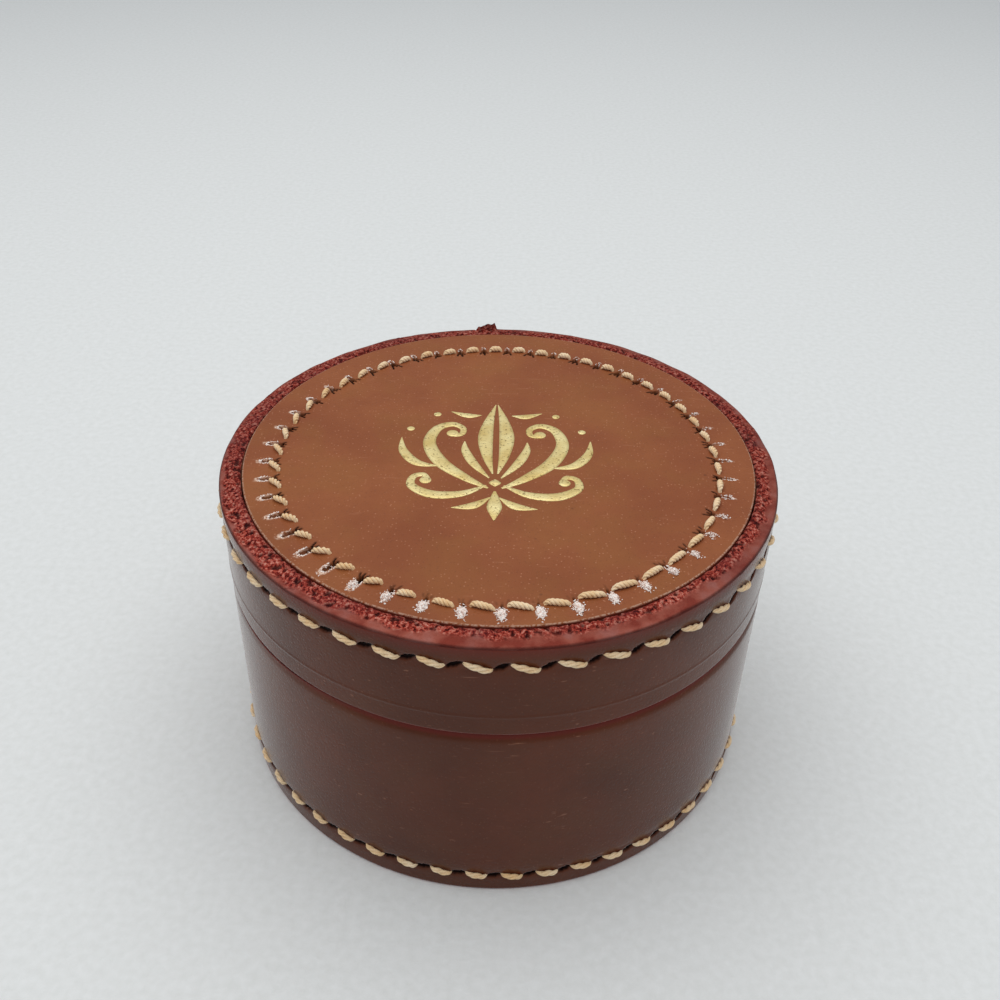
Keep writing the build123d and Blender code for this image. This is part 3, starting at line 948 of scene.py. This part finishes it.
# Half of a symmetric palmette, as strokes of (x, y, width) in millimetres from its middle. The other half is
# its mirror image.
PALMETTE = [
    [(0.35, -4.2, 0.2), (1.15, 0.0, 1.5), (1.5, 4.6, 2.2), (1.1, 8.8, 1.5), (0.15, 13.6, 0.1)],
    [(0.8, -5.2, 0.2), (2.9, -2.0, 1.3), (4.2, 1.2, 1.2), (4.4, 3.6, 0.15)],
    [
        (0.9, -7.5, 0.3), (3.8, -5.4, 1.4), (7.4, -1.8, 2.1), (9.3, 2.8, 1.9), (8.5, 6.6, 1.5),
        (6.4, 8.0, 1.2), (4.8, 7.0, 1.0), (4.9, 5.5, 0.9), (6.0, 5.1, 0.8),
    ],
    [(7.9, -2.6, 0.2), (10.8, -1.9, 1.4), (12.8, 0.9, 1.3), (13.3, 4.2, 0.15)],
    [
        (1.2, -6.9, 0.3), (4.4, -8.9, 1.3), (8.2, -9.2, 1.7), (11.0, -7.4, 1.3), (11.0, -5.3, 1.0),
        (9.7, -4.7, 0.9), (9.0, -5.7, 0.8),
    ],
    [(0.6, -9.6, 0.2), (2.8, -11.5, 1.4), (5.6, -12.0, 0.1)],
    [(2.2, 10.6, 0.1), (4.2, 10.4, 1.2), (6.6, 11.4, 0.1)],
]
PALMETTE_CENTRE = [
    [(0, -8.2, 0.3), (0, -10.2, 1.5), (0, -12.0, 2.0), (0, -14.6, 0.1)],
    [(0, -7.1, 0.2), (0, -6.3, 1.7), (0, -5.5, 0.2)],
]
PALMETTE_BALLS = [(6.2, 5.6, 1.7), (9.3, -6.0, 1.6), (8.6, 10.6, 1.1), (12.2, 6.6, 1.1)]


def drawn(stroke, per_span=8):
    """A stroke's points joined by a smooth curve."""
    ends = [Vector(point) for point in (stroke[0], *stroke, stroke[-1])]
    points = []
    for a, b, c, d in zip(ends, ends[1:], ends[2:], ends[3:]):
        for i in range(per_span):
            t = i / per_span
            squared, cubed = 2 * a - 5 * b + 4 * c - d, 3 * b - a - 3 * c + d
            points.append((2 * b + (c - a) * t + squared * t * t + cubed * t ** 3) / 2)
    return points + [ends[-1]]


def ball(x, y, width):
    """A round end or dot, as a short stroke."""
    steps = 10
    half = width / 2
    across = [-cos(pi * i / steps) for i in range(steps + 1)]
    return [Vector((x + half * a, y, max(0.05, width * (1 - a * a) ** 0.5))) for a in across]


def ornament_strokes():
    """The ornament's strokes as lists of (x, y, width), with the mirrored half."""
    half = [drawn(stroke) for stroke in PALMETTE] + [ball(*dot) for dot in PALMETTE_BALLS]
    strokes = [drawn(stroke) for stroke in PALMETTE_CENTRE]
    for stroke in half:
        strokes.append(stroke)
        strokes.append([Vector((-p.x, p.y, p.z)) for p in stroke])
    return strokes


def make_ornament():
    """The ornament in thin foil: strokes with a low crowned section, pressed a little into the face."""
    section = bpy.data.curves.new("foil_section", "CURVE")
    section.dimensions = "2D"
    flat = section.splines.new("POLY")
    outline = [(-0.5, -0.06), (-0.48, 0.02), (-0.3, 0.05), (0.3, 0.05), (0.48, 0.02), (0.5, -0.06)]
    flat.points.add(len(outline) - 1)
    for target, (x, y) in zip(flat.points, outline):
        target.co = (x * MM, y * MM, 0, 1)
    flat.use_cyclic_u = True
    section_object = bpy.data.objects.new("foil_section", section)
    curve = bpy.data.curves.new("gold_ornament", "CURVE")
    curve.dimensions = "3D"
    curve.twist_mode = "Z_UP"
    curve.bevel_mode = "OBJECT"
    curve.bevel_object = section_object
    curve.use_fill_caps = True
    for points in ornament_strokes():
        spline = curve.splines.new("POLY")
        spline.points.add(len(points) - 1)
        for target, point in zip(spline.points, points):
            x, y = ORNAMENT_MIDDLE.x + point.x, ORNAMENT_MIDDLE.y + point.y
            target.co = (x * MM, y * MM, (LID_FACE + 0.02) * MM, 1)
            target.radius = max(point.z, 0.05)
    stamped = bpy.data.objects.new("gold_ornament_curve", curve)
    for obj in (section_object, stamped):
        bpy.context.scene.collection.objects.link(obj)
    mesh = bpy.data.meshes.new_from_object(stamped.evaluated_get(bpy.context.evaluated_depsgraph_get()))
    for obj in (section_object, stamped):
        bpy.data.objects.remove(obj)
    place(from_mesh(mesh, "gold_ornament", [foil]), "lid", "disc_leather")


make_ornament()


# ---------------------------------------------------------------- collar, lining and pads


def make_collar():
    """The collar: thick below the seam, skived above it, with its top edge burnished."""
    skived = OUTER - WALL - SKIVED_CLEARANCE
    inner = LINING_RADIUS + 0.05
    outline = [(COLLAR_RADIUS, z) for z in stations(BASE_FLOOR, COLLAR_STEP, 4)]
    outline += [(COLLAR_RADIUS, COLLAR_STEP), (skived, COLLAR_STEP + 0.15)]
    outline += [(skived, z) for z in stations(COLLAR_STEP + 0.5, COLLAR_TOP - 0.7, 0.8)]
    outline += corner((skived - 0.6, COLLAR_TOP - 0.6), 0, 90, 0.6)
    outline += [(inner + 0.3, COLLAR_TOP), (inner, COLLAR_TOP - 0.2)]
    outline += [(inner, z) for z in stations(COLLAR_TOP - 1, BASE_FLOOR, 4)] + [(inner, BASE_FLOOR)]
    bm = spun(outline, *INSIDE_TURN)
    hole_shade_and_lap_line, rough = (bm.verts.layers.float.new(name) for name in ("hole_shade_and_lap_line", "rough"))
    for vert in bm.verts:
        vert[hole_shade_and_lap_line] = 0.7 * lap_line(degrees(atan2(vert.co.y, vert.co.x)) % 360)
        vert[rough] = 0.3

    def zone(radius, height):
        return 1 if height > COLLAR_TOP - 0.35 else 0

    place(to_object(bm, "collar", [painted_shade_grain, edge], zone), "base", "wall_leather", "base_collar")


def make_lining():
    """The suede inside the collar, with its top edge turned round and a little unevenness."""
    inner = LINING_RADIUS - SUEDE
    round_over = 0.3
    outline = [(LINING_RADIUS, BASE_FLOOR), (LINING_RADIUS, LINING_TOP - round_over)]
    outline += corner((LINING_RADIUS - round_over, LINING_TOP - round_over), 0, 90, round_over)
    outline += corner((inner + round_over, LINING_TOP - round_over), 90, 180, round_over)
    outline += [(inner, z) for z in stations(LINING_TOP - 1, BASE_FLOOR, 1.5)] + [(inner, BASE_FLOOR)]
    bm = spun(outline, *INSIDE_TURN)
    for vert in bm.verts:
        x, y, z = vert.co
        if hypot(x, y) < inner + 0.1:
            soft = 1 + 0.002 * rough_noise(x, y, z, 6)
            vert.co = (x * soft, y * soft, z)
    place(to_object(bm, "collar_suede", [suede]), "base", "suede", "collar_lining")


def make_pad(name, root, face, body, node):
    """A suede pad: crowned, drawn in at the edge with small gathers, and flat on the board behind it."""
    height = abs(face - root)
    edge_drop = 0.4  # less than the suede is thick, so the wadding's edge stays under it
    turned = 0.6
    gathers = 44
    outline = [(0.5, 0.0), (PAD_RADIUS - turned, 0.0), (PAD_RADIUS - 0.15, 0.1), (PAD_RADIUS, height * 0.35)]
    outline += corner((PAD_RADIUS - turned, height - edge_drop - turned), 20, 90, turned, 6)
    for r in stations(PAD_RADIUS - turned, 0.5, 1.0)[1:] + [0.5]:
        crown = smooth((PAD_RADIUS - turned - r) / (PAD_RADIUS * 0.55))
        outline.append((r, height - edge_drop + edge_drop * crown))
    bm = spun(outline, *INSIDE_TURN, closed=False)
    for vert in bm.verts:
        x, y, z = vert.co
        radius = hypot(x, y)
        azimuth = atan2(y, x)
        near_edge = smooth((radius - PAD_RADIUS + 5) / 4) * smooth(z / 0.6)
        fold = 0.12 * cos(gathers * azimuth + 2 * rough_noise(x, y, 0, 8)) * near_edge
        vert.co.z += fold + 0.12 * rough_noise(x, y, 2, 7) * smooth(z / 0.6)
    if face < root:
        bmesh.ops.scale(bm, vec=(1, 1, -1), verts=bm.verts)
        bmesh.ops.reverse_faces(bm, faces=bm.faces)
    bmesh.ops.translate(bm, vec=(0, 0, root), verts=bm.verts)
    place(to_object(bm, name, [suede]), body, "suede", node)


make_collar()
make_lining()
make_pad("floor_pad", FLOOR_PAD_BOTTOM, FLOOR_PAD_TOP, "base", "floor_suede")
make_pad("lid_pad", LID_PAD_TOP, LID_PAD_BOTTOM, "lid", "lid_suede")

for node_name, material in (
    ("floor_board", board),
    ("lid_board", board),
    ("floor_wadding", wadding),
    ("lid_wadding", wadding),
):
    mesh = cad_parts[node_name].data
    mesh.materials.clear()
    mesh.materials.append(material)


# ---------------------------------------------------------------- stage, camera and light


def make_floor():
    """A plain ground that runs out of sight."""
    bm = bmesh.new()
    bmesh.ops.create_grid(bm, x_segments=2, y_segments=2, size=3000)
    to_object(bm, "floor", [ground])


def make_camera():
    """Stands where the photograph was taken from, fitted to the box's rim, seam and foot. In metres."""
    data = bpy.data.cameras.new("camera")
    data.lens = 39.6
    data.sensor_width = 36
    data.clip_start = 0.01
    camera = bpy.data.objects.new("camera", data)
    stand = Vector((0, -0.12653, 0.13040))
    yaw = Matrix.Rotation(radians(-0.11), 4, "Z")
    tilt = Matrix.Rotation(radians(90 - 36.35), 4, "X")
    roll = Matrix.Rotation(radians(1.39), 4, "Z")
    camera.matrix_world = Matrix.Translation(stand) @ yaw @ tilt @ roll
    bpy.context.scene.collection.objects.link(camera)
    bpy.context.scene.camera = camera


def make_lamp():
    """One wide soft lamp, like a bright window above the box. In metres and watts."""
    data = bpy.data.lights.new("window_above", "AREA")
    data.shape = "DISK"
    data.size = 0.85
    data.energy = 2.55
    data.color = linear("#FFFDF8")[:3]
    lamp = bpy.data.objects.new("window_above", data)
    lamp.location = (-0.03, 0.03, 0.56)
    toward = Vector((0, 0, 0.02)) - lamp.location
    lamp.rotation_euler = toward.to_track_quat("-Z", "Y").to_euler()
    bpy.context.scene.collection.objects.link(lamp)


def make_world():
    """Even pale light from all round."""
    world = bpy.data.worlds.new("studio")
    world.use_nodes = True
    background = world.node_tree.nodes["Background"]
    background.inputs["Color"].default_value = linear("#E6E9EC")
    background.inputs["Strength"].default_value = 0.53
    bpy.context.scene.world = world


make_floor()
make_camera()
make_world()
make_lamp()
bpy.context.scene.view_settings.view_transform = "Standard"
